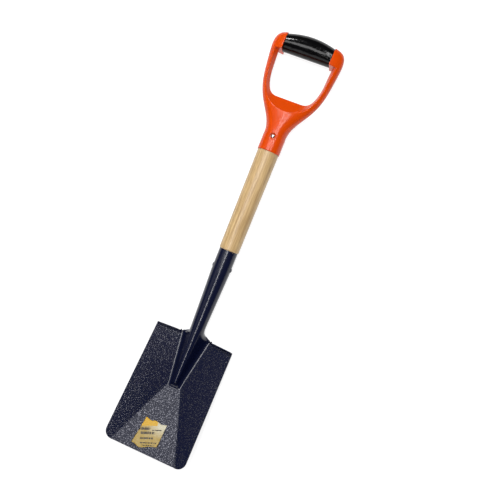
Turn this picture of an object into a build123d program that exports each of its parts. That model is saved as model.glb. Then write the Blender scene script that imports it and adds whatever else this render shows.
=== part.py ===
"""Short square-mouth shovel with a D handle, lying on its back with the face of the blade up.

Millimetres and degrees. While the pieces are made the shaft axis is the Y axis, Y runs from the
blade towards the handle, Z points out of the face of the blade and y = 0 is the rim of the
handle's socket. On export everything moves so that the origin is the bottom centre of the
whole shovel as it lies: X to the right, Y towards the handle, Z up.
"""
import os
from math import cos, radians, sin, tan

from build123d import *

# --- ash shaft ---------------------------------------------------------------------------
SHAFT_VISIBLE = 175.0        # length of bare wood between handle and steel socket
SHAFT_TOP_D = 36.1           # diameter of bare wood at the handle
SHAFT_FOOT_D = 33.8          # diameter of bare wood at the steel socket
SHAFT_END_ROUND = 1.2        # rounding of the wood above the steel socket
HANDLE_TENON_D = 31.0        # turned-down end inside the handle
HANDLE_TENON_LENGTH = 52.0
FOOT_TENON_LENGTH = 96.0     # turned-down end inside the steel socket
TAPER_CLEARANCE = 1.0        # gap round the tenon where the steel socket tapers

# --- pressed steel head: socket, ridge and blade from one sheet ----------------------------
SHEET = 1.6                  # thickness of the steel
SOCKET_RIM_D = 31.6          # outside, at the rim
SOCKET_STRAIGHT = 39.0       # cylindrical length below the rim
SOCKET_LENGTH = 156.0        # rim to shoulder of the blade
SOCKET_NECK_D = 23.8         # outside, where the tube starts to open into the ridge
NECK_TO_SHOULDER = 13.0
SOCKET_SEAM = 1.0            # gap of the butt seam along the back
NECK_KEEL = 0.15             # how far the tube has turned from round to the ridge's shape at the neck
HOLLOW_OVERCUT = 8.0         # how far the hollow reaches out through the open back
RIDGE_SLOPE = 55.5           # steepness of both roof faces of the ridge at the shoulder
RIDGE_NOSE_SLOPE = 54.0      # and at its nose
RIDGE_CREST_R = 3.0          # outside rounding of the crest
RIDGE_LENGTH = 85.5          # shoulder to nose
RIDGE_NOSE_RUN = 8.0         # length of the sloped end face of the ridge
RIDGE_NOSE_HALF = 5.0        # half width of the ridge at the foot of its nose
BLADE_LENGTH = 196.0         # shoulder to mouth, measured along the shaft
SHOULDER_WIDTH = 138.0
MOUTH_WIDTH = 143.5
MOUTH_CORNER_R = 15.0
BLADE_LIFT = 20.0            # angle between the floor of the blade and the shaft
FLANK_FOLD = 15.0            # angle by which each flank folds up from the floor
CREASE_NOSE_HALF = 10.5      # half width of the floor at the nose of the ridge
CREASE_MOUTH_HALF = 56.5     # half width of the floor at the mouth
STEP_HEIGHT = 9.0            # turned-up foot step above the face of the blade
STEP_BEND_R = 3.2            # outside bend of the step
STEP_INNER_HALF = 25.0       # where each step starts beside the ridge
STEP_END_R = 4.0             # rounding of the outer top corner of each step

# --- rivets --------------------------------------------------------------------------------
RIVET_SHANK_D = 5.0
SOCKET_RIVET_DOWN = 30.0     # below the steel rim
SOCKET_RIVET_HEAD_D = 8.4
SOCKET_RIVET_HEAD_H = 1.5
HANDLE_RIVET_UP = 25.0       # above the handle's rim
HANDLE_RIVET_HEAD_D = 7.6
HANDLE_RIVET_HEAD_H = 2.0
COUNTERBORE_D = 9.8
COUNTERBORE_DEPTH = 2.6
WASHER_D = 9.2
WASHER_T = 0.8
RIVET_TAIL_H = 1.2

# --- handle and grip -----------------------------------------------------------------------
HANDLE_LENGTH = 201.0        # rim to the top of the grip
HANDLE_SOCKET_D = 38.2
HANDLE_WIDTH = 122.8         # outside, across the arms
ARM_WIDTH = 13.9             # across one arm, half way up
OPENING_FLOOR = 91.5         # bottom of the hand opening above the rim
EAR_LENGTH = 20.15           # outside of the handle to the end of the grip
GRIP_THICKNESS = 36.5        # along the shaft, at its middle
GRIP_END_THICKNESS = 30.0
GRIP_DEPTH = 34.0            # front to back, at its middle
GRIP_END_DEPTH = 31.0
CROSSBAR_D = 22.0            # core of the grip
EAR_TOP_DROP = 6.5           # top of the handle's ears below the top of the grip
SOCKET_COLLAR = 26.0         # straight round length above the handle's rim
YOKE_STATIONS = (            # share of the way up to the ears, share of half width and of socket radius
    (0.06, 0.315, 1.0), (0.20, 0.47, 0.96), (0.36, 0.735, 1.0), (0.60, 0.93, 1.12),
    (0.82, 1.0, 1.15), (0.93, 0.985, 1.05), (1.0, 0.80, 0.80))
FLARE_HEIGHT = 24.0          # height at which the flare of the opening is sized, clear of the surface
FLARE_FLOOR = 30.0           # how far the flare widens at that height: below the opening,
FLARE_ARM_MIDDLE = 9.0       # half way up each arm
FLARE_ARM_TOP = 13.0         # and beside the grip
OPENING_LAND = 1.5           # half depth of the straight part of the hand opening
OPENING_FLOOR_SHARE = 0.45   # flat floor of the opening, as a share of its width
OPENING_BEND_SHARE = 0.955   # width where the sides turn upright, as a share of the full width
OPENING_BEND_UP = 0.52       # and how far up the opening that is
CORNER_ACROSS = 0.75         # where the rounded lower corners pass
CORNER_UP = 0.34
FLARE_FLOOR_SHARE = 0.15     # flat floor of the flare at the crest line

# --- label ---------------------------------------------------------------------------------
LABEL_THICKNESS = 0.3
# corners of the label: across from the centre line, and up the floor of the blade from the mouth
LABEL_CORNERS = ((-24.7, 9.5), (-11.0, 6.4), (16.8, 18.8), (17.2, 53.6), (7.5, 54.0), (-2.0, 51.4),
                 (-11.0, 53.8), (-19.7, 52.8))

# --- places that follow from the sizes above -------------------------------------------------
STEEL_RIM_Y = -SHAFT_VISIBLE
NECK_Y = STEEL_RIM_Y - SOCKET_LENGTH + NECK_TO_SHOULDER
SHOULDER_Y = STEEL_RIM_Y - SOCKET_LENGTH
NOSE_Y = SHOULDER_Y - RIDGE_LENGTH
MOUTH_Y = SHOULDER_Y - BLADE_LENGTH
GRIP_UNDERSIDE_Y = HANDLE_LENGTH - GRIP_THICKNESS
GRIP_LENGTH = HANDLE_WIDTH - 2 * EAR_LENGTH
HAND_OPENING_WIDTH = HANDLE_WIDTH - 2 * ARM_WIDTH
AXIS_HEIGHT = HANDLE_SOCKET_D / 2
BIG = 400.0


def save(shape, name):
    """Move a finished piece from the working frame to the shovel's own frame and write it."""
    middle_y = (HANDLE_LENGTH + MOUTH_Y) / 2
    export_step(Pos(0, -middle_y, AXIS_HEIGHT) * shape, f"parts/{name}.step")


def turned(profile):
    """Solid of revolution about the shaft axis from (radius, y) corners."""
    corners = [(0, profile[0][1])] + profile + [(0, profile[-1][1])]
    return revolve(make_face(Polyline(*corners, close=True)), Axis.Y)


def across(y):
    """Plane square to the shaft at y, with local x to the right and local y up."""
    return Plane(origin=(0, y, 0), x_dir=(1, 0, 0), z_dir=(0, -1, 0))


# --- steel head ----------------------------------------------------------------------------
CREST_HEIGHT = SOCKET_NECK_D / 2        # the crest runs on straight from the front of the tube


def ridge_slope(y):
    """Steepness of the ridge's roof faces, in radians, easing from shoulder to nose."""
    share = (SHOULDER_Y - y) / RIDGE_LENGTH
    return radians(RIDGE_SLOPE + (RIDGE_NOSE_SLOPE - RIDGE_SLOPE) * min(max(share, 0.0), 1.0))


def tube_points(radius, top_angle=62.0, low_angle=-50.0):
    """Right half of a round tube: crest, crest end, side, low corner and bottom."""
    angles = (90.0, top_angle, (top_angle + low_angle) / 2, low_angle, -90.0)
    return [(radius * cos(radians(a)), radius * sin(radians(a))) for a in angles]


def roof_points(crest, crest_radius, slope, foot):
    """Right half of the ridge's rounded roof section, down to the height of its foot."""
    peak = crest + crest_radius * (1 / cos(slope) - 1)
    end = (crest_radius * sin(slope), peak - crest_radius * sin(slope) * tan(slope))
    low = ((peak - foot) / tan(slope), foot)
    side = ((end[0] + low[0]) / 2, (end[1] + low[1]) / 2)
    return [(0, crest), end, side, low, (0, foot)]


def blended(first, second, share):
    return [(a[0] + (b[0] - a[0]) * share, a[1] + (b[1] - a[1]) * share)
            for a, b in zip(first, second)]


def section(y, points, rounded):
    """Closed face of four edges from the right half of a section, round or straight-sided."""
    crest, end, side, low, floor = [across(y).from_local_coords(p) for p in points]
    left_end, left_side, left_low = [Vector(-p.X, p.Y, p.Z) for p in (end, side, low)]
    top = ThreePointArc(left_end, crest, end)
    if rounded:
        edges = [top, ThreePointArc(end, side, low), ThreePointArc(low, floor, left_low),
                 ThreePointArc(left_low, left_side, left_end)]
    else:
        edges = [top, Line(end, low), Line(low, left_low), Line(left_low, left_end)]
    return Face(Wire(edges))


def socket_and_ridge(inset):
    """Outer body of tube and ridge, or with an inset of one sheet the hollow inside it."""
    foot = -AXIS_HEIGHT - HOLLOW_OVERCUT * inset / SHEET
    crest_radius = max(RIDGE_CREST_R - inset, SHEET / 2)

    def roof(y, lowered=0.0):
        return roof_points(CREST_HEIGHT - inset - lowered, crest_radius, ridge_slope(y), foot)

    rim, neck = [tube_points(d / 2 - inset) for d in (SOCKET_RIM_D, SOCKET_NECK_D)]
    neck = blended(neck, roof(NECK_Y), NECK_KEEL)
    faces = [section(STEEL_RIM_Y - SOCKET_STRAIGHT, rim, True), section(NECK_Y, neck, True)]
    for along, opened in ((0.55, 0.25), (0.85, 0.6)):
        y = NECK_Y - NECK_TO_SHOULDER * along
        faces.append(section(y, blended(neck, roof(y), opened), True))
    run_start, nose_foot = NOSE_Y + RIDGE_NOSE_RUN, NOSE_Y + inset
    for y in (SHOULDER_Y, run_start):
        faces.append(section(y, roof(y), False))
    lowered = CREST_HEIGHT - floor_height(nose_foot) - RIDGE_NOSE_HALF * tan(ridge_slope(NOSE_Y)) / 2
    faces.append(section(nose_foot, roof(nose_foot, lowered), False))
    tube = extrude(across(STEEL_RIM_Y) * Circle(SOCKET_RIM_D / 2 - inset), SOCKET_STRAIGHT)
    return tube + loft(faces, ruled=True)


def floor_height(y):
    """Height of the top of the blade's floor above the shaft axis, on the centre line."""
    root = -AXIS_HEIGHT + SHEET
    d = crease_distance(ridge_half_at_shoulder(), SHOULDER_Y)
    at_shoulder = root - d * tan(radians(FLANK_FOLD))
    return at_shoulder + (SHOULDER_Y - y) * tan(radians(BLADE_LIFT))


def ridge_half_at_shoulder():
    """Half width of the ridge where it meets the blade at the shoulder."""
    slope = ridge_slope(SHOULDER_Y)
    peak = CREST_HEIGHT + RIDGE_CREST_R * (1 / cos(slope) - 1)
    return (peak + AXIS_HEIGHT - SHEET) / tan(slope)


def crease_direction():
    return Vector(CREASE_MOUTH_HALF - CREASE_NOSE_HALF, MOUTH_Y - NOSE_Y, 0).normalized()


def crease_distance(x, y):
    """Distance in plan from the right crease, positive on the flank's side."""
    run = crease_direction()
    return -(x - CREASE_NOSE_HALF) * run.Y + (y - NOSE_Y) * run.X


def facet_planes():
    """Top planes of the floor and both flanks."""
    lift = tan(radians(BLADE_LIFT))
    fold = tan(radians(FLANK_FOLD))
    run = crease_direction()
    start = Vector(0, NOSE_Y, floor_height(NOSE_Y))
    planes = [Plane(origin=start, x_dir=(1, 0, 0), z_dir=Vector(0, lift, 1))]
    for side in (1, -1):
        rise_x = -run.Y * fold * side
        rise_y = run.X * fold - lift
        origin = start + Vector(side * CREASE_NOSE_HALF, 0, 0)
        planes.append(Plane(origin=origin, x_dir=(1, 0, rise_x), z_dir=Vector(-rise_x, -rise_y, 1)))
    return planes


def below(depth):
    """Everything below the face of the blade, lowered square to each facet by a depth."""
    solids = [plane.offset(-depth) * Pos(0, 0, -BIG / 2) * Box(2 * BIG, 2 * BIG, BIG)
              for plane in facet_planes()]
    return solids[0] + solids[1] + solids[2]


def blade_outline():
    """Plan of the blade, set back at both shoulders to make room for the bends of the steps."""
    top, half_top, half_mouth = SHOULDER_Y - STEP_BEND_R, SHOULDER_WIDTH / 2, MOUTH_WIDTH / 2
    tab = STEP_INNER_HALF + STEP_BEND_R
    right = [(tab, SHOULDER_Y), (tab, top), (half_top, top), (half_mouth, MOUTH_Y)]
    left = [(-x, y) for x, y in reversed(right)]
    face = make_face(Polyline(*right, *left, close=True))
    return fillet(face.vertices().group_by(Axis.Y)[0], MOUTH_CORNER_R)


def step(side):
    """Turned-up foot step on one shoulder, bent from the same sheet."""
    flank = facet_planes()[1 if side > 0 else 2]
    normal = flank.z_dir
    middle_x = side * (STEP_INNER_HALF + SHOULDER_WIDTH / 2) / 2
    rise = -(normal.X * (middle_x - flank.origin.X) + normal.Y * (SHOULDER_Y - flank.origin.Y)) / normal.Z
    origin = Vector(middle_x, SHOULDER_Y, flank.origin.Z + rise)
    shoulder_line = Vector(1, 0, -normal.X / normal.Z).normalized()
    tail = STEP_BEND_R * 2
    profile = Polyline((-tail, -SHEET), (0, -SHEET), (0, STEP_HEIGHT), (-SHEET, STEP_HEIGHT),
                       (-SHEET, 0), (-tail, 0), close=True)
    face = make_face(profile)
    face = fillet(face.vertices().sort_by_distance((0, -SHEET))[0], STEP_BEND_R)
    face = fillet(face.vertices().sort_by_distance((-SHEET, 0))[0], STEP_BEND_R - SHEET)
    half_length = (SHOULDER_WIDTH / 2 - STEP_INNER_HALF) / shoulder_line.X / 2
    placed = Plane(origin=origin, x_dir=normal.cross(shoulder_line), z_dir=shoulder_line) * face
    flange = extrude(placed, half_length, both=True)
    outer_corner = origin + shoulder_line * (side * half_length) + normal * STEP_HEIGHT
    return fillet(flange.edges().sort_by_distance(outer_corner - normal.cross(shoulder_line) * SHEET / 2)[0],
                  STEP_END_R)


def steel_head():
    """Blade, ridge, foot steps and rolled socket, pressed from one sheet."""
    blade = below(0) - below(SHEET)
    blade &= Pos(0, 0, -BIG / 2) * extrude(blade_outline(), BIG)
    behind = below(SHEET) & Pos(0, SHOULDER_Y - BIG / 2, 0) * Box(BIG, BIG, BIG)
    behind += Pos(0, SHOULDER_Y, -AXIS_HEIGHT - BIG / 2) * Box(BIG, BIG, BIG)
    head = (socket_and_ridge(0) - behind) + blade + step(1) + step(-1) - socket_and_ridge(SHEET)
    seam_length = STEEL_RIM_Y - NECK_Y
    seam = Pos(0, STEEL_RIM_Y - seam_length / 2, -SOCKET_RIM_D / 2) \
        * Box(SOCKET_SEAM, seam_length, SOCKET_RIM_D)
    return head - seam - socket_rivet_shank()


# --- shaft ---------------------------------------------------------------------------------
def shaft():
    top, foot, wood_foot = SHAFT_TOP_D / 2, SHAFT_FOOT_D / 2, STEEL_RIM_Y
    bore = SOCKET_RIM_D / 2 - SHEET
    tapered = FOOT_TENON_LENGTH - SOCKET_STRAIGHT
    shrink = (SOCKET_RIM_D - SOCKET_NECK_D) / 2 / (SOCKET_LENGTH - NECK_TO_SHOULDER - SOCKET_STRAIGHT)
    tip = bore - TAPER_CLEARANCE - tapered * shrink
    wood = turned([(tip - SHAFT_END_ROUND, wood_foot - FOOT_TENON_LENGTH),
                   (tip, wood_foot - FOOT_TENON_LENGTH + SHAFT_END_ROUND),
                   (bore - TAPER_CLEARANCE, wood_foot - SOCKET_STRAIGHT),
                   (bore, wood_foot - SOCKET_STRAIGHT + TAPER_CLEARANCE),
                   (bore, wood_foot), (foot - SHAFT_END_ROUND, wood_foot),
                   (foot, wood_foot + SHAFT_END_ROUND), (top, 0), (HANDLE_TENON_D / 2, 0),
                   (HANDLE_TENON_D / 2, HANDLE_TENON_LENGTH)])
    return wood - socket_rivet_shank() - handle_rivet_shank()


# --- rivets --------------------------------------------------------------------------------
def socket_rivet_shank():
    return Pos(0, STEEL_RIM_Y - SOCKET_RIVET_DOWN, 0) * Rot(0, 90, 0) \
        * Cylinder(RIVET_SHANK_D / 2, SOCKET_RIM_D)


def domed_head(diameter, height):
    """Low round head standing on the XY plane."""
    radius = (diameter ** 2 / 4 + height ** 2) / (2 * height)
    ball = Pos(0, 0, height - radius) * Sphere(radius)
    return ball & Pos(0, 0, height / 2) * Box(diameter * 2, diameter * 2, height)


def socket_rivet():
    """One rivet straight through the steel socket and the shaft, with a low head each side."""
    rivet = socket_rivet_shank()
    for side in (1, -1):
        seat = Pos(side * SOCKET_RIM_D / 2, STEEL_RIM_Y - SOCKET_RIVET_DOWN, 0) * Rot(0, side * 90, 0)
        skirt = Pos(0, 0, -SHEET / 2) * Cylinder(SOCKET_RIVET_HEAD_D / 2, SHEET)
        head = domed_head(SOCKET_RIVET_HEAD_D, SOCKET_RIVET_HEAD_H) + skirt
        around = Pos(0, STEEL_RIM_Y, 0) * Rot(90, 0, 0) * Cylinder(SOCKET_RIM_D / 2, SOCKET_LENGTH)
        rivet += seat * head - around
    return rivet


def handle_rivet_shank():
    return Pos(0, HANDLE_RIVET_UP, 0) * Cylinder(RIVET_SHANK_D / 2, HANDLE_SOCKET_D - 2 * COUNTERBORE_DEPTH)


def counterbore_floor():
    return HANDLE_SOCKET_D / 2 - COUNTERBORE_DEPTH


def handle_rivet():
    """Rivet from front to back: a domed head in front and a peened tail on a washer behind."""
    dome = domed_head(HANDLE_RIVET_HEAD_D, HANDLE_RIVET_HEAD_H)
    front = Pos(0, HANDLE_RIVET_UP, counterbore_floor()) * dome
    tail_seat = Pos(0, HANDLE_RIVET_UP, -counterbore_floor() - WASHER_T) * Rot(180, 0, 0)
    tail = tail_seat * domed_head(RIVET_SHANK_D * 1.35, RIVET_TAIL_H)
    stub = Pos(0, HANDLE_RIVET_UP, -counterbore_floor() - WASHER_T / 2) \
        * Cylinder(RIVET_SHANK_D / 2, WASHER_T)
    return handle_rivet_shank() + front + stub + tail


def handle_rivet_washer():
    place = Pos(0, HANDLE_RIVET_UP, -counterbore_floor() - WASHER_T / 2)
    return place * (Cylinder(WASHER_D / 2, WASHER_T) - Cylinder(RIVET_SHANK_D / 2, WASHER_T))


# --- handle --------------------------------------------------------------------------------
def yoke_section(y, half_width, half_depth):
    return across(y) * Ellipse(half_width, half_depth)


def yoke_body():
    """Socket that widens into the arms, before the hand opening is cut."""
    round_r, half = HANDLE_SOCKET_D / 2, HANDLE_WIDTH / 2
    ear_top = HANDLE_LENGTH - EAR_TOP_DROP
    socket = extrude(across(0) * Circle(round_r), -SOCKET_COLLAR)
    stations = [(SOCKET_COLLAR, round_r, round_r)]
    for along, width_share, depth_share in YOKE_STATIONS:
        y = SOCKET_COLLAR + (ear_top - SOCKET_COLLAR) * along
        stations.append((y, half * width_share, round_r * depth_share))
    return socket + loft([yoke_section(*station) for station in stations])


def opening_outline(height, floor, half_low, half_mid, half_top, top):
    """D-shaped outline at a height: flat floor, rounded lower corners and near-upright sides."""
    mid_y = floor + (top - floor) * OPENING_BEND_UP
    corner = (half_low + (half_mid - half_low) * CORNER_ACROSS, floor + (mid_y - floor) * CORNER_UP)
    right = [(half_low, floor), corner, (half_mid, mid_y), (half_top, top)]
    left = [(-x, y) for x, y in reversed(right)]
    leaving, arriving = (1, 0), (0.12, 1)      # along the floor, then up the side
    edges = [Line(left[-1], right[0]), Spline(right[0], corner, right[2], tangents=[leaving, arriving]),
             Line(right[2], right[3]), Line(right[3], left[0]), Line(left[0], left[1]),
             Spline(left[1], (-corner[0], corner[1]), left[3], tangents=[(arriving[0], -1), leaving])]
    return Pos(0, 0, height) * make_face(edges)


def hand_opening():
    """The hand opening: straight at mid depth and flared to the crest lines front and back."""
    half = HAND_OPENING_WIDTH / 2
    bend_half = half * OPENING_BEND_SHARE
    inner = (OPENING_FLOOR, half * OPENING_FLOOR_SHARE, bend_half, half, GRIP_UNDERSIDE_Y)
    flared = (OPENING_FLOOR - FLARE_FLOOR, half * FLARE_FLOOR_SHARE, bend_half + FLARE_ARM_MIDDLE,
              half + FLARE_ARM_TOP, GRIP_UNDERSIDE_Y)
    core = extrude(opening_outline(-OPENING_LAND, *inner), 2 * OPENING_LAND)
    flare = loft([opening_outline(OPENING_LAND, *inner), opening_outline(FLARE_HEIGHT, *flared)], ruled=True)
    return core + flare + mirror(flare, about=Plane.XY)


def d_handle():
    """Moulded handle: shaft socket, arms, ears and the core bar that carries the grip."""
    body = yoke_body() - hand_opening()
    bar_y = HANDLE_LENGTH - GRIP_THICKNESS / 2
    gap_top = HANDLE_LENGTH + GRIP_THICKNESS
    gap = Pos(0, (GRIP_UNDERSIDE_Y + gap_top) / 2, 0) * Box(GRIP_LENGTH, gap_top - GRIP_UNDERSIDE_Y, BIG)
    bar = Pos(0, bar_y, 0) * Rot(0, 90, 0) * Cylinder(CROSSBAR_D / 2, GRIP_LENGTH)
    body = body - gap + bar
    body -= extrude(across(0) * Circle(HANDLE_TENON_D / 2), -HANDLE_TENON_LENGTH)
    bore = Cylinder(COUNTERBORE_D / 2, HANDLE_SOCKET_D)
    for side in (1, -1):
        body -= Pos(0, HANDLE_RIVET_UP, side * (counterbore_floor() + HANDLE_SOCKET_D / 2)) * bore
    return body - handle_rivet_shank()


def grip_sleeve():
    """Moulded sleeve over the core bar: straight underneath and arched on top."""
    faces = []
    for along in (-1, -0.5, 0, 0.5, 1):
        thick = GRIP_THICKNESS - (GRIP_THICKNESS - GRIP_END_THICKNESS) * along ** 2
        deep = GRIP_DEPTH - (GRIP_DEPTH - GRIP_END_DEPTH) * along ** 2
        place = Plane(origin=(along * GRIP_LENGTH / 2, GRIP_UNDERSIDE_Y + thick / 2, 0),
                      x_dir=(0, 1, 0), z_dir=(1, 0, 0))
        faces.append(place * Ellipse(thick / 2, deep / 2))
    bar_y = HANDLE_LENGTH - GRIP_THICKNESS / 2
    return loft(faces) - Pos(0, bar_y, 0) * Rot(0, 90, 0) * Cylinder(CROSSBAR_D / 2, GRIP_LENGTH)


# --- label ---------------------------------------------------------------------------------
def label():
    """Thin die-cut sticker on the floor of the blade, with two peaks along its top edge."""
    floor = facet_planes()[0]
    place = Plane(origin=Vector(0, MOUTH_Y, floor_height(MOUTH_Y)), x_dir=(1, 0, 0), z_dir=floor.z_dir)
    return place * extrude(make_face(Polyline(*LABEL_CORNERS, close=True)), LABEL_THICKNESS)


if __name__ == "__main__":
    os.makedirs("parts", exist_ok=True)
    pieces = {"steel_head": steel_head, "shaft": shaft, "socket_rivet": socket_rivet, "d_handle": d_handle,
              "grip_sleeve": grip_sleeve, "handle_rivet": handle_rivet,
              "handle_rivet_washer": handle_rivet_washer, "label": label}
    for name, make in pieces.items():
        save(make(), name)
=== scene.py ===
"""Short square-mouth shovel with a D handle: pressed steel head, ash shaft, moulded handle.

Metres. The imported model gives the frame: the shovel lies on its back with the face of the
blade up, Y runs along the shaft towards the handle and Z points up.
"""
from math import cos, pi, radians, sin, sqrt, tan

import bmesh
import bpy
from bpy.props import FloatProperty, FloatVectorProperty, PointerProperty
from mathutils import Matrix, Vector


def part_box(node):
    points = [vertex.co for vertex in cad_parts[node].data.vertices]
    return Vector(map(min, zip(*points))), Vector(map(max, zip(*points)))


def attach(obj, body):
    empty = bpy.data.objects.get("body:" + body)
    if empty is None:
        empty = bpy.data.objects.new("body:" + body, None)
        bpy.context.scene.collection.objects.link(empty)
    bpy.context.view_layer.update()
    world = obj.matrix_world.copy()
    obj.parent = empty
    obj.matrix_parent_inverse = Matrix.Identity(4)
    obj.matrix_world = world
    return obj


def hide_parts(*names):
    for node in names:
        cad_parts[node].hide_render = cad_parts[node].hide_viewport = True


bl_info = {
    "name": "Square-mouth shovel",
    "version": (1, 0, 0),
    "blender": (4, 5, 0),
    "location": "View3D > Sidebar > Shovel",
    "description": "Builds the visible pieces of a short D-handled square-mouth shovel",
    "category": "Object",
}

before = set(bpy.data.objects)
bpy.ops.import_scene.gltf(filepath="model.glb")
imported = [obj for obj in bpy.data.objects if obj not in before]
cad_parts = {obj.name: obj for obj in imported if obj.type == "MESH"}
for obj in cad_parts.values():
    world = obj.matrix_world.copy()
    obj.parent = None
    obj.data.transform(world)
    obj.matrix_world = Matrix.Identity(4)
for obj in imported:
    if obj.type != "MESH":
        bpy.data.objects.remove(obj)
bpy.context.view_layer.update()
MM = 0.001

HEAD_LOW, HEAD_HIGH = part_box("steel_head")
SHAFT_LOW, SHAFT_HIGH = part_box("shaft")
AXIS_Z = (SHAFT_LOW.z + SHAFT_HIGH.z) / 2
MOUTH_Y = HEAD_LOW.y
STEEL_RIM_Y = HEAD_HIGH.y

# Pressing details that follow from the tools of the press and have no setting of their own.
NOSE_SLOPE = radians(58)        # end face of the ridge
NOSE_FALL_HALF = 16 * MM        # half width at which that face has fallen back by NOSE_FALL
NOSE_FALL = 2 * MM
NOSE_ROUND = 4 * MM             # softness of the edge between crest and end face
NECK_LENGTH = 13 * MM           # parallel part of the socket above the shoulder
FLARE_POWER = 1.6               # how soon the open back of the flare closes
KEEL_SHARE = 0.72               # part of the crest's change of shape that ends with the flare
BACK_FROM, BACK_TO = 0.3, 0.6   # where the crest gives way to the back, across the half tube
STEP_RUN_IN = 4 * MM            # length over which each step's bend starts
STEP_FADE_IN, STEP_FADE_OUT = 2 * MM, 12 * MM   # where its height grows, either side of its start
STEP_CORNER = 4 * MM            # radius of the step's outer top corner
STEP_BEND_STEPS, STEP_WALL_ROWS = 6, 4

# Mesh rows and columns of the head, fine at the nose and the flare.
CORNER_ROWS = 12
MIDDLE_COLUMNS, FLANK_COLUMNS = 72, 34
FLOOR_ROW, NOSE_ROW, RIDGE_ROW, FLARE_ROW, TAPER_ROW, RIM_ROW = (
    2.4 * MM, 0.7 * MM, 2 * MM, 1.2 * MM, 3 * MM, 4 * MM)
NOSE_BELOW, NOSE_ABOVE = 6 * MM, 12 * MM        # reach of the fine rows around the nose
RIDGE_MARGIN, EDGE_MARGIN = 5 * MM, 1 * MM      # middle strip past the ridge, and short of the edge

# Where the enamel is hammered: height of the plate above the buried ridge, and the end of the blade.
SMOOTH_BELOW, HAMMERED_ABOVE = 2 * MM, 16 * MM
BLADE_END_LOW, BLADE_END_HIGH = 2 * MM, 4 * MM
HAMMERED_SHARE = 0.6            # faces with less of it take the flowed enamel

# Sticker outline: across from the centre line and up the floor from the mouth, both in millimetres.
STICKER_LEFT_LOW, STICKER_RIGHT_LOW = -24.7, 16.8
STICKER_LEFT_HIGH, STICKER_RIGHT_HIGH = -19.7, 17.2
STICKER_BOTTOM = (9.5, 6.4, 18.8)               # left corner, lowest point, right corner
STICKER_POINT = 0.33                            # share of the width at the lowest point
STICKER_TOP, STICKER_SCALLOP, STICKER_RISE = 52.4, 1.1, 0.8
STICKER_WAVE = 0.6                              # uneven cut along the bottom
STICKER_GAP = 0.15                              # glue and paper above the paint
CURL_START, CURL_HEIGHT, CURL_LIFT, CURL_SIDE = 0.28, 2.2, 0.3, 0.5
PRINT_TURN = radians(20)
PRINT_CENTRE = (-3 * MM, MOUTH_Y + 29 * MM)
PRINT_SIDE = 52 * MM

# Printed bars: low, high, start and end, as shares of the print.
BARS = ((0.62, 0.69, 0.12, 0.5), (0.5, 0.57, 0.22, 0.66), (0.6, 0.63, 0.56, 0.86),
        (0.36, 0.41, 0.22, 0.62), (0.24, 0.27, 0.24, 0.74), (0.18, 0.2, 0.3, 0.7))

EDGE_ROUND = 2.2 * MM           # radius of a moulded edge
PAINT_EDGE = 0.3 * MM           # rounding of the painted sheet's edges
PLATE_GLOSS, FLOWED_GLOSS = 0.11, 0.5

# Studio: the table glows just enough to stay white, and the lamps stand above it.
FLOOR_HALF = 6
FLOOR_GLOW = 0.85
SKY_STRENGTH = 0.06
LAMPS = (  # name, place, target, sides (the second along the shovel), watts
    ("shaft_strip", (0.06, 0.1, 1.35), (0, 0, 0), (0.1, 1.9), 11),
    ("face_light", (-0.32, 0.2, 1.35), (0, -0.2, 0), (0.56, 0.5), 6.6),
    ("shoulder_light", (0.46, 0.5, 1.3), (0, 0, 0), (0.3, 0.3), 4.5),
    ("left_fill", (-1.0, 0.3, 1.2), (0, 0, 0), (0.8, 1.8), 2),
    ("handle_fill", (-0.62, 1.15, 1.15), (0, 0.3, 0), (0.25, 0.25), 11),
    ("mouth_fill", (0.2, -2.7, 1.1), (0, 0, 0), (2.2, 1.4), 16),
)
CAMERA_PLACE = (0.1715, 0.0256, 1.0)
CAMERA_TARGET = (0.0326, 0.0022, AXIS_Z)
CAMERA_ROLL = radians(-21.9)
CAMERA_LENS = 43.2


# --- sizes and colours that a user would change ---------------------------------------------
def size(name, description, default):
    return FloatProperty(name=name, description=description, default=default, unit="LENGTH",
                         precision=4)


def angle(name, description, default):
    return FloatProperty(name=name, description=description, default=radians(default),
                         unit="ROTATION")


def colour(name, description, hex_code):
    return FloatVectorProperty(name=name, description=description, default=linear(hex_code),
                               subtype="COLOR", size=4, min=0.0, max=1.0)


def linear(hex_code):
    """sRGB hex code to a linear colour with full alpha."""
    channels = [int(hex_code[i:i + 2], 16) / 255 for i in (1, 3, 5)]
    return [c / 12.92 if c <= 0.04045 else ((c + 0.055) / 1.055) ** 2.4 for c in channels] + [1.0]


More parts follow.
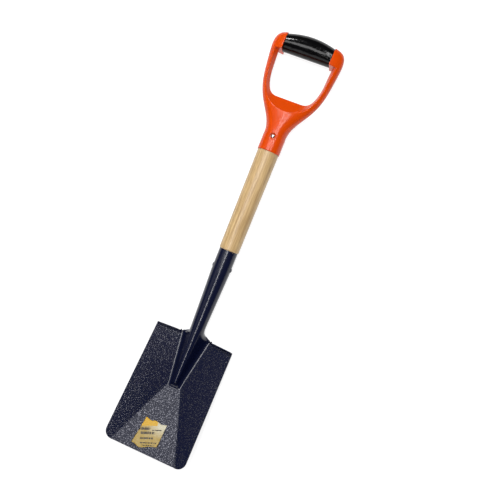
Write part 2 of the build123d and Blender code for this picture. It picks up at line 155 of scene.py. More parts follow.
class HeadSettings(bpy.types.PropertyGroup):
    sheet: size("Sheet", "Thickness of the pressed steel", 1.6 * MM)
    socket_length: size("Socket length", "Rim of the socket to the shoulder of the blade", 156 * MM)
    socket_straight: size("Straight socket", "Cylindrical length below the rim", 39 * MM)
    rim_radius: size("Rim radius", "Outside radius of the socket at its rim", 15.8 * MM)
    neck_radius: size("Neck radius", "Outside radius of the socket above the shoulder", 11.9 * MM)
    flare_length: size("Flare", "Length over which the tube opens into the ridge", 24 * MM)
    seam: size("Seam", "Gap of the butt seam along the back", 1 * MM)
    ridge_length: size("Ridge length", "Shoulder to the nose of the ridge", 85.5 * MM)
    ridge_slope: angle("Ridge slope", "Steepness of the ridge at the shoulder", 62)
    ridge_nose_slope: angle("Nose slope", "Steepness of the ridge at its nose", 64)
    crest_round: size("Crest radius", "Radius of the ridge's crest at the shoulder", 9.5 * MM)
    crest_nose_round: size("Nose crest radius", "Radius of the ridge's crest at its nose", 3.5 * MM)
    foot_round: size("Foot rounding", "Softness of the fold along the foot of the ridge", 11 * MM)
    shoulder_width: size("Shoulder width", "Blade width at the shoulder", 138 * MM)
    corner_radius: size("Mouth corner", "Radius of the mouth's corners", 15 * MM)
    lift: angle("Lift", "Angle between the floor of the blade and the shaft", 20)
    fold: angle("Fold", "Angle by which each flank folds up", 15)
    crease_nose: size("Crease at nose", "Half width of the floor at the nose of the ridge", 10.5 * MM)
    crease_mouth: size("Crease at mouth", "Half width of the floor at the mouth", 56.5 * MM)
    crease_round: size("Crease rounding", "Softness of the creases", 2 * MM)
    step_height: size("Step height", "Turned-up foot step above the face", 9 * MM)
    step_bend: size("Step bend", "Outside bend of the foot step", 3.2 * MM)
    step_start: size("Step start", "Distance of each step from the centre line", 25 * MM)
    paint: colour("Paint", "Hammer-finish enamel", "#080D26")
    paint_light: colour("Paint fleck", "Lighter leafed pigment on the high spots", "#505054")
    dimple: size("Dimple", "Width of one dimple of the hammer finish", 1.8 * MM)


class WoodSettings(bpy.types.PropertyGroup):
    light: colour("Light wood", "Spring wood of the ash shaft", "#CCAF80")
    dark: colour("Dark wood", "Summer wood of the ash shaft", "#9A7B50")
    grain: size("Grain", "Distance between growth rings on the surface", 3.2 * MM)
    pore: size("Pore", "Width of the open pores", 0.5 * MM)


class HandleSettings(bpy.types.PropertyGroup):
    orange: colour("Orange", "Moulded polypropylene", "#C64000")
    black: colour("Black", "Glossy grip sleeve", "#050506")
    zinc: colour("Zinc", "Bright plated rivet", "#D8D8D6")


class LabelSettings(bpy.types.PropertyGroup):
    band: colour("Band", "Band along the top of the sticker", "#BF9410")
    paper: colour("Paper", "Body of the sticker", "#9A8036")
    pale: colour("Pale corner", "Where the print fades out", "#B9B39B")
    ink: colour("Ink", "Printed bars", "#2E2412")


# --- helpers ------------------------------------------------------------------------------
def finish_mesh(bm, name, slot, material, *cad_nodes):
    """Turn a bmesh into a smooth object that rides with the shovel and replaces CAD nodes."""
    mesh = bpy.data.meshes.new(name)
    bm.to_mesh(mesh)
    bm.free()
    mesh.shade_smooth()
    piece = bpy.data.objects.new(name, mesh)
    bpy.context.scene.collection.objects.link(piece)
    mesh.materials.append(material)
    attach(piece, "root")
    if cad_nodes:
        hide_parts(*cad_nodes)
    return piece


def dress(node_name, material):
    """Give a CAD node its finish."""
    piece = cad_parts[node_name]
    piece.data.materials.clear()
    piece.data.materials.append(material)
    return piece


def new_material(name):
    material = bpy.data.materials.new(name)
    material.use_nodes = True
    material.node_tree.nodes.clear()
    return material


def node(tree, kind, settings=None, **links):
    """Add a node, set its properties and sockets, and link sockets given as name=output."""
    made = tree.nodes.new(kind)
    for key, value in (settings or {}).items():
        if isinstance(key, str) and hasattr(made, key):
            setattr(made, key, value)
        else:
            made.inputs[key].default_value = value
    for key, output in links.items():
        socket = made.inputs[int(key[1:])] if key[0] == "i" and key[1:].isdigit() \
            else made.inputs[key.replace("_", " ")]
        tree.links.new(output, socket)
    return made


def surface(material, settings, **links):
    """The material's shader, with uniform values on its own sockets, and its output."""
    tree = material.node_tree
    shader = node(tree, "ShaderNodeBsdfPrincipled", settings, **links)
    node(tree, "ShaderNodeOutputMaterial", Surface=shader.outputs["BSDF"])
    return shader


def soft_ramp(value, softness):
    """Zero below, the value itself above, with a rounded corner between."""
    if abs(value) >= softness:
        return max(value, 0.0)
    return (value + softness) ** 2 / (4 * softness)


def smoothstep(low, high, value):
    """Zero below low, one above high, with an eased rise between."""
    share = min(max((value - low) / (high - low), 0.0), 1.0)
    return share * share * (3 - 2 * share)


def mix(first, second, share):
    return first + (second - first) * share


# --- shape of the pressed head ----------------------------------------------------------------
class HeadShape:
    """Formulas for the front face of the head, in the shovel's frame."""

    def __init__(self, settings):
        self.s = settings
        self.shoulder = STEEL_RIM_Y - settings.socket_length
        self.nose = self.shoulder - settings.ridge_length
        self.crest = AXIS_Z + settings.neck_radius
        crease_spread = settings.crease_mouth - settings.crease_nose
        self.run = Vector((crease_spread, MOUTH_Y - self.nose)).normalized()
        foot_height = settings.sheet
        foot = self.ridge_half(self.shoulder, foot_height)
        fold_rise = self.crease_distance(foot, self.shoulder) * tan(settings.fold)
        self.floor_at_shoulder = foot_height - fold_rise

    def ridge_share(self, y):
        """Zero at the shoulder, one at the nose."""
        return min(max((self.shoulder - y) / self.s.ridge_length, 0.0), 1.0)

    def crest_line(self, y):
        """Slope of the ridge's sides, and half width, drop and radius of its rounded crest."""
        share = self.ridge_share(y)
        lean = mix(self.s.ridge_slope, self.s.ridge_nose_slope, share)
        radius = mix(self.s.crest_round, self.s.crest_nose_round, share)
        return tan(lean), radius * sin(lean), radius * (1 - cos(lean)), radius

    def ridge_half(self, y, height):
        """Half width of the ridge at a height."""
        slope, round_half, drop, _ = self.crest_line(y)
        return round_half + (self.crest - drop - height) / slope

    def crease_distance(self, x, y):
        """Distance outside the crease between the floor and the right flank."""
        return -(x - self.s.crease_nose) * self.run.y + (y - self.nose) * self.run.x

    def floor(self, y):
        """Height of the blade's floor, which rises towards the mouth."""
        return self.floor_at_shoulder + (self.shoulder - y) * tan(self.s.lift)

    def plate(self, x, y):
        """Floor and folded flanks, without the ridge."""
        folded = soft_ramp(self.crease_distance(abs(x), y), self.s.crease_round)
        return self.floor(y) + folded * tan(self.s.fold)

    def roof(self, x, y):
        """Roof of the ridge with a rounded crest, down to its sloped nose."""
        slope, round_half, drop, radius = self.crest_line(y)
        beside = abs(x) - round_half
        fall = drop + beside * slope if beside > 0 else radius - sqrt(radius ** 2 - x * x)
        height = self.crest - fall
        end = self.floor(self.nose) + (y - self.nose) * tan(NOSE_SLOPE)
        end -= (x / NOSE_FALL_HALF) ** 2 * NOSE_FALL
        return end - soft_ramp(end - height, NOSE_ROUND)

    def face(self, x, y):
        """Front face of the blade."""
        plate, roof = self.plate(x, y), self.roof(x, y)
        return plate + soft_ramp(roof - plate, self.s.foot_round)

    def half_width(self, y):
        """Half width of the blade, rounded at the mouth's corners."""
        s = self.s
        towards_mouth = (self.shoulder - y) / (self.shoulder - MOUTH_Y)
        full = mix(s.shoulder_width / 2, HEAD_HIGH.x, towards_mouth)
        into_corner = s.corner_radius - (y - MOUTH_Y)
        if into_corner <= 0:
            return full
        return full - s.corner_radius + sqrt(max(s.corner_radius ** 2 - into_corner ** 2, 0.0))

    def centre_half(self, y):
        """Half width of the mesh's middle strip, which follows the ridge and then the creases."""
        on_ridge = max(y, self.nose)
        ridge = self.ridge_half(on_ridge, self.floor(on_ridge)) + RIDGE_MARGIN
        at_shoulder = self.s.step_start + EDGE_MARGIN
        beside_ridge = mix(at_shoulder, ridge, self.ridge_share(y))
        crease = self.s.crease_nose - (y - self.nose) * self.run.x / -self.run.y
        wide = max(beside_ridge, crease) if y < self.nose else beside_ridge
        return min(wide, self.half_width(y) - EDGE_MARGIN)

    def tube(self, across, y):
        """Point of the socket, across from -1 to 1 between the edges of the seam."""
        s = self.s
        up = y - self.shoulder
        taper_length = s.socket_length - s.socket_straight
        taper = min(up / taper_length, 1.0)
        neck_share = NECK_LENGTH / taper_length
        widening = min(max((taper - neck_share) / (1 - neck_share), 0.0), 1.0)
        radius = mix(s.neck_radius, s.rim_radius, widening)
        gap = s.seam / 2 / radius
        turn = across * (pi - gap)
        round_x, round_z = radius * sin(turn), radius * cos(turn)
        roof_x = across * self.centre_half(self.shoulder)
        open_z = self.face(roof_x, self.shoulder) - AXIS_Z + (radius - s.neck_radius)
        closed_back = 1 - (1 - min(up / s.flare_length, 1.0)) ** FLARE_POWER
        keel = KEEL_SHARE * smoothstep(0, s.flare_length, up) + (1 - KEEL_SHARE) * taper
        share = mix(keel, closed_back, smoothstep(BACK_FROM, BACK_TO, abs(across)))
        return Vector((mix(roof_x, round_x, share), y, AXIS_Z + mix(open_z, round_z, share)))


def rows_between(start, end, step):
    """Even places from start up to, but without, the end."""
    count = max(1, round(abs(end - start) / step))
    return [start + (end - start) * i / count for i in range(count)]


def head_rows(shape):
    """Places of the mesh rows along the shaft, from mouth to rim, and the number of blade rows."""
    s = shape.s
    blade = [MOUTH_Y + s.corner_radius * (1 - cos(pi / 2 * i / CORNER_ROWS)) for i in range(CORNER_ROWS)]
    below_nose, above_nose = shape.nose - NOSE_BELOW, shape.nose + NOSE_ABOVE
    blade += rows_between(MOUTH_Y + s.corner_radius, below_nose, FLOOR_ROW)
    blade += rows_between(below_nose, above_nose, NOSE_ROW)
    blade += rows_between(above_nose, shape.shoulder, RIDGE_ROW) + [shape.shoulder]
    straight = STEEL_RIM_Y - s.socket_straight
    flare_top = shape.shoulder + s.flare_length
    tube = rows_between(shape.shoulder, flare_top, FLARE_ROW)[1:]
    tube += rows_between(flare_top, straight, TAPER_ROW)
    tube += rows_between(straight, STEEL_RIM_Y, RIM_ROW) + [STEEL_RIM_Y]
    return blade + tube, len(blade)


def head_mesh(settings):
    """One sheet from mouth to socket rim, with the foot steps turned up from its shoulders."""
    shape = HeadShape(settings)
    rows, blade_rows = head_rows(shape)
    middle, flank = MIDDLE_COLUMNS, FLANK_COLUMNS
    columns = middle + 2 * flank
    bm = bmesh.new()
    bmesh.ops.create_grid(bm, x_segments=columns, y_segments=len(rows) - 1, size=1)
    index = {v: (round((v.co.x + 1) / 2 * columns), round((v.co.y + 1) / 2 * (len(rows) - 1)))
             for v in bm.verts}

    def beside_tube(face):
        face_columns = [index[v][0] for v in face.verts]
        on_tube_rows = min(index[v][1] for v in face.verts) >= blade_rows - 1
        return on_tube_rows and (max(face_columns) <= flank or min(face_columns) >= flank + middle)

    bmesh.ops.delete(bm, geom=[f for f in bm.faces if beside_tube(f)], context="FACES")
    shoulder_verts = {1: [], -1: []}
    for v in bm.verts:
        column, row = index[v]
        y = rows[row]
        across = (column - flank) / middle * 2 - 1
        if row >= blade_rows:
            v.co = shape.tube(across, y)
            continue
        inner, outer = shape.centre_half(y), shape.half_width(y)
        side = 1 if across > 0 else -1
        if abs(across) <= 1:
            x = across * inner
        else:
            share = (abs(across) - 1) * middle / 2 / flank
            x = side * mix(inner, outer, share)
        # The shoulder is drawn in by the bend of the step, and the rows below it less and less.
        on_step = smoothstep(settings.step_start, settings.step_start + STEP_RUN_IN, abs(x))
        y -= settings.step_bend * on_step * smoothstep(shape.nose, shape.shoulder, y)
        if row == blade_rows - 1 and abs(across) >= 1:
            shoulder_verts[side].append(v)
        v.co = Vector((x, y, shape.face(x, y)))
    for side, verts in shoulder_verts.items():
        turn_up_step(bm, shape, side, verts)
    mark_hammered(bm, shape)
    bmesh.ops.recalc_face_normals(bm, faces=bm.faces)
    top = max(bm.faces, key=lambda f: f.calc_area())
    if top.normal.z < 0:
        bmesh.ops.reverse_faces(bm, faces=bm.faces)
    return bm


def mark_hammered(bm, shape):
    """The paint dimples on the open plate and flows out smooth on the ridge and the socket."""
    layer = bm.verts.layers.float.new("hammered")
    for v in bm.verts:
        above_ridge = shape.plate(v.co.x, v.co.y) - shape.roof(v.co.x, v.co.y)
        past_blade = smoothstep(shape.shoulder - BLADE_END_LOW, shape.shoulder + BLADE_END_HIGH, v.co.y)
        v[layer] = (1 - past_blade) * smoothstep(SMOOTH_BELOW, HAMMERED_ABOVE, above_ridge)
    for face in bm.faces:
        if sum(v[layer] for v in face.verts) / len(face.verts) < HAMMERED_SHARE:
            face.material_index = 1


def turn_up_step(bm, shape, side, verts):
    """Bend the shoulder's edge up into a foot step that dies away beside the ridge."""
    s = shape.s
    chosen = set(verts)
    edges = [e for e in bm.edges if e.verts[0] in chosen and e.verts[1] in chosen]
    outer = max(verts, key=lambda v: abs(v.co.x)).co.copy()
    y = outer.y
    bend_start = s.step_start + STEP_RUN_IN
    inner = Vector((side * bend_start, y, shape.plate(bend_start, y)))
    line = (outer - inner).normalized() * side
    below = y - 10 * MM
    behind = Vector((outer.x, below, shape.plate(outer.x, below)))
    normal = line.cross(outer - behind).normalized()
    if normal.z < 0:
        normal.negate()
    inside_bend = s.step_bend - s.sheet
    made = bmesh.ops.spin(bm, geom=edges, cent=outer + normal * inside_bend, axis=line, dvec=(0, 0, 0),
                          angle=pi / 2, steps=STEP_BEND_STEPS, use_merge=False, use_duplicate=False)
    last = [g for g in made["geom_last"] if isinstance(g, bmesh.types.BMEdge)]
    rise = (s.step_height - inside_bend) / STEP_WALL_ROWS
    for _ in range(STEP_WALL_ROWS):
        grown = bmesh.ops.extrude_edge_only(bm, edges=last)["geom"]
        last = [g for g in grown if isinstance(g, bmesh.types.BMEdge)]
        bmesh.ops.translate(bm, verts=[g for g in grown if isinstance(g, bmesh.types.BMVert)],
                            vec=normal * rise)
    for v in bm.verts:
        height = (v.co - outer).dot(normal)
        if v.co.x * side > s.step_start and v.co.y > y - 0.1 * MM and height > 0.05 * MM:
            start = smoothstep(s.step_start - STEP_FADE_IN, s.step_start + STEP_FADE_OUT, abs(v.co.x))
            short_of_end = abs(outer.x) - abs(v.co.x)
            into_corner = max(STEP_CORNER - short_of_end, 0)
            rounded = STEP_CORNER - sqrt(max(STEP_CORNER ** 2 - into_corner ** 2, 0))
            limit = (s.step_height - rounded) / s.step_height
            v.co -= normal * height * (1 - start * limit)


def sticker_mesh(shape):
    """Hand-cut sticker: a scalloped top, a slanted curling bottom, and print coordinates."""
    bm = bmesh.new()
    bmesh.ops.create_grid(bm, x_segments=36, y_segments=30, size=0.5)
    left_corner, lowest, right_corner = STICKER_BOTTOM
    for v in bm.verts:
        across, up = v.co.x + 0.5, v.co.y + 0.5
        top = STICKER_TOP + STICKER_SCALLOP * cos(across * 4 * pi) + STICKER_RISE * across
        if across < STICKER_POINT:
            bottom = mix(left_corner, lowest, across / STICKER_POINT)
        else:
            bottom = mix(lowest, right_corner, (across - STICKER_POINT) / (1 - STICKER_POINT))
        bottom += STICKER_WAVE * sin(across * 3.5 * pi)
        left = mix(STICKER_LEFT_LOW, STICKER_LEFT_HIGH, up)
        right = mix(STICKER_RIGHT_LOW, STICKER_RIGHT_HIGH, up)
        x = mix(left, right, across) * MM
        y = MOUTH_Y + mix(bottom, top, up) * cos(shape.s.lift) * MM
        curl = max(CURL_START - up, 0) / CURL_START
        lift = STICKER_GAP + CURL_HEIGHT * curl ** 2 * smoothstep(0.1, 0.8, across)
        lift += CURL_LIFT * curl + CURL_SIDE * max(across - 0.8, 0)
        v.co = Vector((x, y, shape.face(x, y) + lift * MM))
    layer = bm.loops.layers.uv.new("print")
    centre_x, centre_y = PRINT_CENTRE
    along, aside = cos(PRINT_TURN), sin(PRINT_TURN)
    for face in bm.faces:
        for loop in face.loops:
            dx, dy = loop.vert.co.x - centre_x, loop.vert.co.y - centre_y
            loop[layer].uv = (0.5 + (dx * along + dy * aside) / PRINT_SIDE,
                              0.5 + (dy * along - dx * aside) / PRINT_SIDE)
    bmesh.ops.recalc_face_normals(bm, faces=bm.faces)
    if bm.faces[0].normal.z < 0:
        bmesh.ops.reverse_faces(bm, faces=bm.faces)
    return bm


# --- finishes ---------------------------------------------------------------------------------
def hammer_enamel(settings, name, gloss):
    """Hammer-finish enamel: leafing pigment in a thick gloss paint that dries in shallow dimples,
    so that light breaks up into flecks while the rest stays nearly black. Where the paint flows off
    the steep ridge and socket it dries smooth, and there the gloss is higher. The dimples are drawn
    somewhat coarser than the real ones, so that they still show across the whole tool."""
    material = new_material(name)
    tree = material.node_tree
    object_space = node(tree, "ShaderNodeTexCoord").outputs["Object"]
    # Turned off the square, so that no flat face of the plate runs along a layer of the cells.
    place = node(tree, "ShaderNodeMapping", {"Rotation": (0.6, 0.75, 0.3)},
                 Vector=object_space).outputs[0]
    # Cells bent by a slower noise, so that the dimples run together here and there.
    warp = node(tree, "ShaderNodeTexNoise", {"Scale": 0.6 / settings.dimple, "Detail": 1.0},
                Vector=place)
    bent = node(tree, "ShaderNodeVectorMath", {"operation": "MULTIPLY_ADD", 1: (settings.dimple,) * 3},
                i0=warp.outputs["Color"], i2=place)
    cells = node(tree, "ShaderNodeTexVoronoi", {"feature": "SMOOTH_F1", "Scale": 1 / settings.dimple,
                                                "Smoothness": 0.6}, Vector=bent.outputs[0])
    fine = node(tree, "ShaderNodeTexNoise", {"Scale": 2.2 / settings.dimple, "Detail": 3.0,
                                             "Roughness": 0.6}, Vector=place)
    fleck = node(tree, "ShaderNodeMapRange", {"From Min": 0.15, "From Max": 0.75, "To Min": 1.0,
                                              "To Max": 0.0}, Value=cells.outputs["Distance"])
    # Leaf gathers on the middle of a dimple, broken up by the fine noise.
    speck = node(tree, "ShaderNodeMath", {"operation": "MULTIPLY"}, i0=fleck.outputs[0],
                 i1=fine.outputs["Fac"])
    hammered = node(tree, "ShaderNodeAttribute", {"attribute_name": "hammered"}).outputs["Fac"]
    leaf = node(tree, "ShaderNodeMapRange", {"From Min": 0.35, "From Max": 0.42, "To Max": 0.9},
                Value=speck.outputs[0])
    leaf_share = node(tree, "ShaderNodeMath", {"operation": "MULTIPLY"}, i0=leaf.outputs[0],
                      i1=hammered)
    tint = node(tree, "ShaderNodeMix", {"data_type": "RGBA", 6: settings.paint[:],
                                        7: settings.paint_light[:]}, i0=leaf_share.outputs[0])
    height = node(tree, "ShaderNodeMath", {"operation": "MULTIPLY_ADD", 1: 0.35},
                  i0=fine.outputs["Fac"], i2=cells.outputs["Distance"])
    strength = node(tree, "ShaderNodeMapRange", {"To Min": 0.05, "To Max": 0.25}, Value=hammered)
    bump = node(tree, "ShaderNodeBump", {"Distance": 0.3 * MM}, Height=height.outputs[0],
                Strength=strength.outputs[0])
    surface(material, {"Roughness": 0.21, "Specular IOR Level": gloss}, Base_Color=tint.outputs[2],
            Metallic=leaf_share.outputs[0], Normal=bump.outputs[0])
    return material


def lacquered_ash(settings):
    """Turned ash under clear lacquer: straight open grain, darker summer wood and a soft gloss."""
    material = new_material("lacquered_ash")
    tree = material.node_tree
    place = node(tree, "ShaderNodeTexCoord").outputs["Object"]
    long_place = node(tree, "ShaderNodeMapping", {"Scale": (1.0, 0.045, 1.0)}, Vector=place)
    rings = node(tree, "ShaderNodeTexNoise", {"Scale": 1 / settings.grain, "Detail": 4.0,
                                              "Roughness": 0.62, "Distortion": 0.6},
                 Vector=long_place.outputs[0])
    streaks = node(tree, "ShaderNodeMapping", {"Scale": (1.0, 0.03, 1.0)}, Vector=place)
    pores = node(tree, "ShaderNodeTexNoise", {"Scale": 1 / settings.pore, "Detail": 2.0},
                 Vector=streaks.outputs[0])
    rings_share = node(tree, "ShaderNodeMapRange", {"From Min": 0.34, "From Max": 0.68},
                       Value=rings.outputs["Fac"])
    pore_share = node(tree, "ShaderNodeMapRange", {"From Min": 0.52, "From Max": 0.72, "To Max": 0.55},
                      Value=pores.outputs["Fac"])
    grain = node(tree, "ShaderNodeMix", {"data_type": "RGBA", 6: settings.light[:], 7: settings.dark[:]},
                 i0=rings_share.outputs[0])
    tint = node(tree, "ShaderNodeMix", {"data_type": "RGBA", 7: settings.dark[:]},
                i0=pore_share.outputs[0], i6=grain.outputs[2])
    bump = node(tree, "ShaderNodeBump", {"Strength": 0.2, "Distance": 0.1 * MM},
                Height=pores.outputs["Fac"])
    surface(material, {"Roughness": 0.42, "IOR": 1.5, "Specular IOR Level": 0.35, "Coat Weight": 0.25,
                       "Coat Roughness": 0.22}, Base_Color=tint.outputs[2], Normal=bump.outputs[0])
    return material


def moulded_plastic(name, tint, shine, roughness, ripple, ripple_depth):
    """Injection-moulded plastic: even colour, slightly rounded edges and a faint sink ripple."""
    material = new_material(name)
    tree = material.node_tree
    place = node(tree, "ShaderNodeTexCoord").outputs["Object"]
    waves = node(tree, "ShaderNodeTexNoise", {"Scale": 1 / ripple, "Detail": 2.0}, Vector=place)
    rounded = node(tree, "ShaderNodeBevel", {"samples": 8, "Radius": EDGE_ROUND})
    bump = node(tree, "ShaderNodeBump", {"Strength": 0.5, "Distance": ripple_depth},
                Height=waves.outputs["Fac"], Normal=rounded.outputs[0])
    rough = node(tree, "ShaderNodeMapRange", {"To Min": roughness - 0.04, "To Max": roughness + 0.06},
                 Value=waves.outputs["Fac"])
    surface(material, {"Base Color": tint, "Specular IOR Level": shine}, Roughness=rough.outputs[0],
            Normal=bump.outputs[0])
    return material


def bright_zinc(settings):
    """Bright zinc plating: a metal with fine rub marks."""
    material = new_material("bright_zinc")
    tree = material.node_tree
    place = node(tree, "ShaderNodeTexCoord").outputs["Object"]
    rub = node(tree, "ShaderNodeTexNoise", {"Scale": 1 / (0.6 * MM), "Detail": 3.0}, Vector=place)
    rough = node(tree, "ShaderNodeMapRange", {"To Min": 0.2, "To Max": 0.36}, Value=rub.outputs["Fac"])
    surface(material, {"Base Color": settings.zinc[:], "Metallic": 1.0}, Roughness=rough.outputs[0])
    return material


def printed_paper(settings):
    """Coated sticker paper: a coloured band, a fading body and plain printed bars."""
    material = new_material("printed_paper")
    tree = material.node_tree
    place = node(tree, "ShaderNodeTexCoord").outputs["UV"]
    axes = node(tree, "ShaderNodeSeparateXYZ", Vector=place)
    across, up = axes.outputs["X"], axes.outputs["Y"]
    fade = node(tree, "ShaderNodeMapRange", {"From Min": 0.35, "From Max": 0.8}, Value=across)
    high_up = node(tree, "ShaderNodeMapRange", {"From Min": 0.35, "From Max": 0.7}, Value=up)
    pale = node(tree, "ShaderNodeMath", {"operation": "MULTIPLY"}, i0=fade.outputs[0],
                i1=high_up.outputs[0])
    mottle = node(tree, "ShaderNodeTexNoise", {"Scale": 9.0, "Detail": 2.0}, Vector=place)
    uneven = node(tree, "ShaderNodeMath", {"operation": "MULTIPLY_ADD", 1: 0.5, 2: -0.2},
                  i0=mottle.outputs["Fac"])
    pale_share = node(tree, "ShaderNodeMath", {"operation": "ADD", "use_clamp": True},
                      i0=pale.outputs[0], i1=uneven.outputs[0])
    body = node(tree, "ShaderNodeMix", {"data_type": "RGBA", 6: settings.paper[:], 7: settings.pale[:]},
                i0=pale_share.outputs[0])
    band = inside(tree, up, 0.74, 1.2)
    banded = node(tree, "ShaderNodeMath", {"operation": "MULTIPLY"}, i0=band,
                  i1=inside(tree, across, -0.2, 0.72))
    printed = node(tree, "ShaderNodeMix", {"data_type": "RGBA", 7: settings.band[:]},
                   i0=banded.outputs[0], i6=body.outputs[2])
    bars = None
    for low, high, start, end in BARS:
        bar = node(tree, "ShaderNodeMath", {"operation": "MULTIPLY"}, i0=inside(tree, up, low, high),
                   i1=inside(tree, across, start, end)).outputs[0]
        bars = bar if bars is None else node(tree, "ShaderNodeMath", {"operation": "MAXIMUM"},
                                             i0=bars, i1=bar).outputs[0]
    # Gaps along the bars, as between words.
    gaps = node(tree, "ShaderNodeTexNoise", {"noise_dimensions": "1D", "Scale": 26.0}, W=across)
    words = node(tree, "ShaderNodeMapRange", {"From Min": 0.4, "From Max": 0.46, "To Min": 0.25},
                 Value=gaps.outputs["Fac"])
    inked = node(tree, "ShaderNodeMath", {"operation": "MULTIPLY"}, i0=bars, i1=words.outputs[0])
    tint = node(tree, "ShaderNodeMix", {"data_type": "RGBA", 7: settings.ink[:]},
                i0=inked.outputs[0], i6=printed.outputs[2])
    surface(material, {"Roughness": 0.4, "Specular IOR Level": 0.3}, Base_Color=tint.outputs[2])
    return material


def inside(tree, value, low, high):
    """One between two limits, zero outside them."""
    above = node(tree, "ShaderNodeMath", {"operation": "GREATER_THAN", 1: low}, i0=value)
    below = node(tree, "ShaderNodeMath", {"operation": "LESS_THAN", 1: high}, i0=value)
    return node(tree, "ShaderNodeMath", {"operation": "MULTIPLY"}, i0=above.outputs[0],
                i1=below.outputs[0]).outputs[0]


# --- operators --------------------------------------------------------------------------------
class SHOVEL_OT_head(bpy.types.Operator):
    """Pressed steel head with its rivet, in hammer-finish enamel"""
    bl_idname = "shovel.head"
    bl_label = "Steel head"

    def execute(self, context):
        settings = context.scene.shovel_head
        dimpled = hammer_enamel(settings, "hammer_finish_enamel", PLATE_GLOSS)
        flowed = hammer_enamel(settings, "flowed_gloss_enamel", FLOWED_GLOSS)
        bm = head_mesh(settings)
        piece = finish_mesh(bm, "pressed_head", "hammer_paint", dimpled, "steel_head")
        piece.data.materials.append(flowed)
        wall = piece.modifiers.new("sheet", "SOLIDIFY")
        wall.thickness = settings.sheet
        wall.offset = -1.0
        wall.use_even_offset = True
        edge = piece.modifiers.new("edge", "BEVEL")
        edge.width = PAINT_EDGE
        edge.segments = 2
        edge.limit_method = "ANGLE"
        edge.angle_limit = radians(50)
        edge.harden_normals = True
        dress("socket_rivet", flowed)
        return {"FINISHED"}


class SHOVEL_OT_shaft(bpy.types.Operator):
    """Ash shaft under clear lacquer"""
    bl_idname = "shovel.shaft"
    bl_label = "Ash shaft"

    def execute(self, context):
        dress("shaft", lacquered_ash(context.scene.shovel_wood))
        return {"FINISHED"}


class SHOVEL_OT_handle(bpy.types.Operator):
    """Orange moulded handle with its plated rivet"""
    bl_idname = "shovel.handle"
    bl_label = "D handle"

    def execute(self, context):
        settings = context.scene.shovel_handle
        orange = moulded_plastic("orange_polypropylene", settings.orange[:], shine=0.32,
                                 roughness=0.22, ripple=9 * MM, ripple_depth=0.2 * MM)
        dress("d_handle", orange)
        zinc = bright_zinc(settings)
        for name in ("handle_rivet", "handle_rivet_washer"):
            dress(name, zinc)
        return {"FINISHED"}


class SHOVEL_OT_grip(bpy.types.Operator):
    """Glossy black grip sleeve"""
    bl_idname = "shovel.grip"
    bl_label = "Grip sleeve"

    def execute(self, context):
        settings = context.scene.shovel_handle
        black = moulded_plastic("gloss_black_sleeve", settings.black[:], shine=0.22,
                                roughness=0.12, ripple=8 * MM, ripple_depth=0.7 * MM)
        dress("grip_sleeve", black)
        return {"FINISHED"}


class SHOVEL_OT_label(bpy.types.Operator):
    """Paper sticker on the floor of the blade"""
    bl_idname = "shovel.label"
    bl_label = "Sticker"

    def execute(self, context):
        paper = printed_paper(context.scene.shovel_label)
        bm = sticker_mesh(HeadShape(context.scene.shovel_head))
        piece = finish_mesh(bm, "curled_sticker", "sticker_paper", paper, "label")
        sheet = piece.modifiers.new("paper", "SOLIDIFY")
        sheet.thickness = 0.2 * MM
        sheet.offset = 1.0
        return {"FINISHED"}


class SHOVEL_OT_stage(bpy.types.Operator):
    """Glowing white table, soft studio light and the camera"""
    bl_idname = "shovel.stage"
    bl_label = "Stage"

    def execute(self, context):
        scene = context.scene
        scene.view_settings.view_transform = "Standard"
        bm = bmesh.new()
        bmesh.ops.create_grid(bm, x_segments=1, y_segments=1, size=FLOOR_HALF)
        mesh = bpy.data.meshes.new("floor")
        bm.to_mesh(mesh)
        bm.free()
        floor = bpy.data.objects.new("floor", mesh)
        scene.collection.objects.link(floor)
        backlit = new_material("backlit_acrylic_table")
        surface(backlit, {"Base Color": linear("#8C8C8C"), "Roughness": 0.9,
                          "Specular IOR Level": 0.1, "Emission Color": linear("#FFFFFF"),
                          "Emission Strength": FLOOR_GLOW})
        mesh.materials.append(backlit)
        world = bpy.data.worlds.new("studio")
        world.use_nodes = True
        sky = world.node_tree.nodes["Background"]
        sky.inputs["Color"].default_value = (1, 1, 1, 1)
        sky.inputs["Strength"].default_value = SKY_STRENGTH
        scene.world = world
        for lamp in LAMPS:
            soft_box(*lamp)
        look_down_camera(scene)
        return {"FINISHED"}


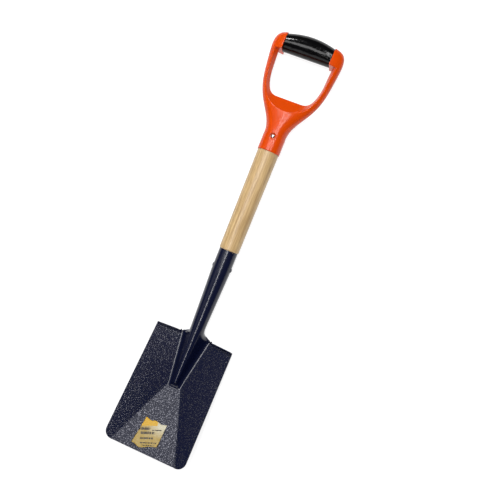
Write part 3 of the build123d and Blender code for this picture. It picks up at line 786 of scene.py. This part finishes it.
def soft_box(name, place, target, sides, power):
    """Rectangular lamp facing a point, with its second side along the shovel."""
    lamp = bpy.data.lights.new(name, "AREA")
    lamp.shape = "RECTANGLE"
    lamp.size, lamp.size_y = sides
    lamp.energy = power
    away = (Vector(place) - Vector(target)).normalized()
    along = (Vector((0, 1, 0)) - away * away.y).normalized()
    turn = Matrix((along.cross(away), along, away)).transposed().to_4x4()
    holder = bpy.data.objects.new(name, lamp)
    holder.matrix_world = Matrix.Translation(place) @ turn
    bpy.context.scene.collection.objects.link(holder)


def look_down_camera(scene):
    """Camera above the shovel, turned so that the handle points to the upper right."""
    place = Vector(CAMERA_PLACE)
    forward = (Vector(CAMERA_TARGET) - place).normalized()
    up = Vector((0, 1, 0)) - forward * forward.y
    up.normalize()
    up.rotate(Matrix.Rotation(CAMERA_ROLL, 3, forward))
    right = forward.cross(up)
    turn = Matrix((right, up, -forward)).transposed().to_4x4()
    lens = bpy.data.cameras.new("camera")
    lens.lens = CAMERA_LENS
    camera = bpy.data.objects.new("camera", lens)
    camera.matrix_world = Matrix.Translation(place) @ turn
    scene.collection.objects.link(camera)
    scene.camera = camera


OPERATORS = (SHOVEL_OT_head, SHOVEL_OT_shaft, SHOVEL_OT_handle, SHOVEL_OT_grip, SHOVEL_OT_label,
             SHOVEL_OT_stage)


class SHOVEL_PT_panel(bpy.types.Panel):
    """Lists the pieces of the shovel"""
    bl_idname = "SHOVEL_PT_panel"
    bl_label = "Shovel"
    bl_space_type = "VIEW_3D"
    bl_region_type = "UI"
    bl_category = "Shovel"

    def draw(self, context):
        for operator in OPERATORS:
            self.layout.operator(operator.bl_idname)
        for settings_name, group in GROUPS:
            for name in group.__annotations__:
                self.layout.prop(getattr(context.scene, settings_name), name)


GROUPS = (("shovel_head", HeadSettings), ("shovel_wood", WoodSettings), ("shovel_handle", HandleSettings),
          ("shovel_label", LabelSettings))
CLASSES = tuple(group for _, group in GROUPS) + OPERATORS + (SHOVEL_PT_panel,)


def register():
    for cls in CLASSES:
        bpy.utils.register_class(cls)
    for name, group in GROUPS:
        setattr(bpy.types.Scene, name, PointerProperty(type=group))


def unregister():
    for name, _ in GROUPS:
        delattr(bpy.types.Scene, name)
    for cls in reversed(CLASSES):
        bpy.utils.unregister_class(cls)


def main():
    register()
    bpy.ops.shovel.head()
    bpy.ops.shovel.shaft()
    bpy.ops.shovel.handle()
    bpy.ops.shovel.grip()
    bpy.ops.shovel.label()
    bpy.ops.shovel.stage()


if __name__ == "__main__":
    main()
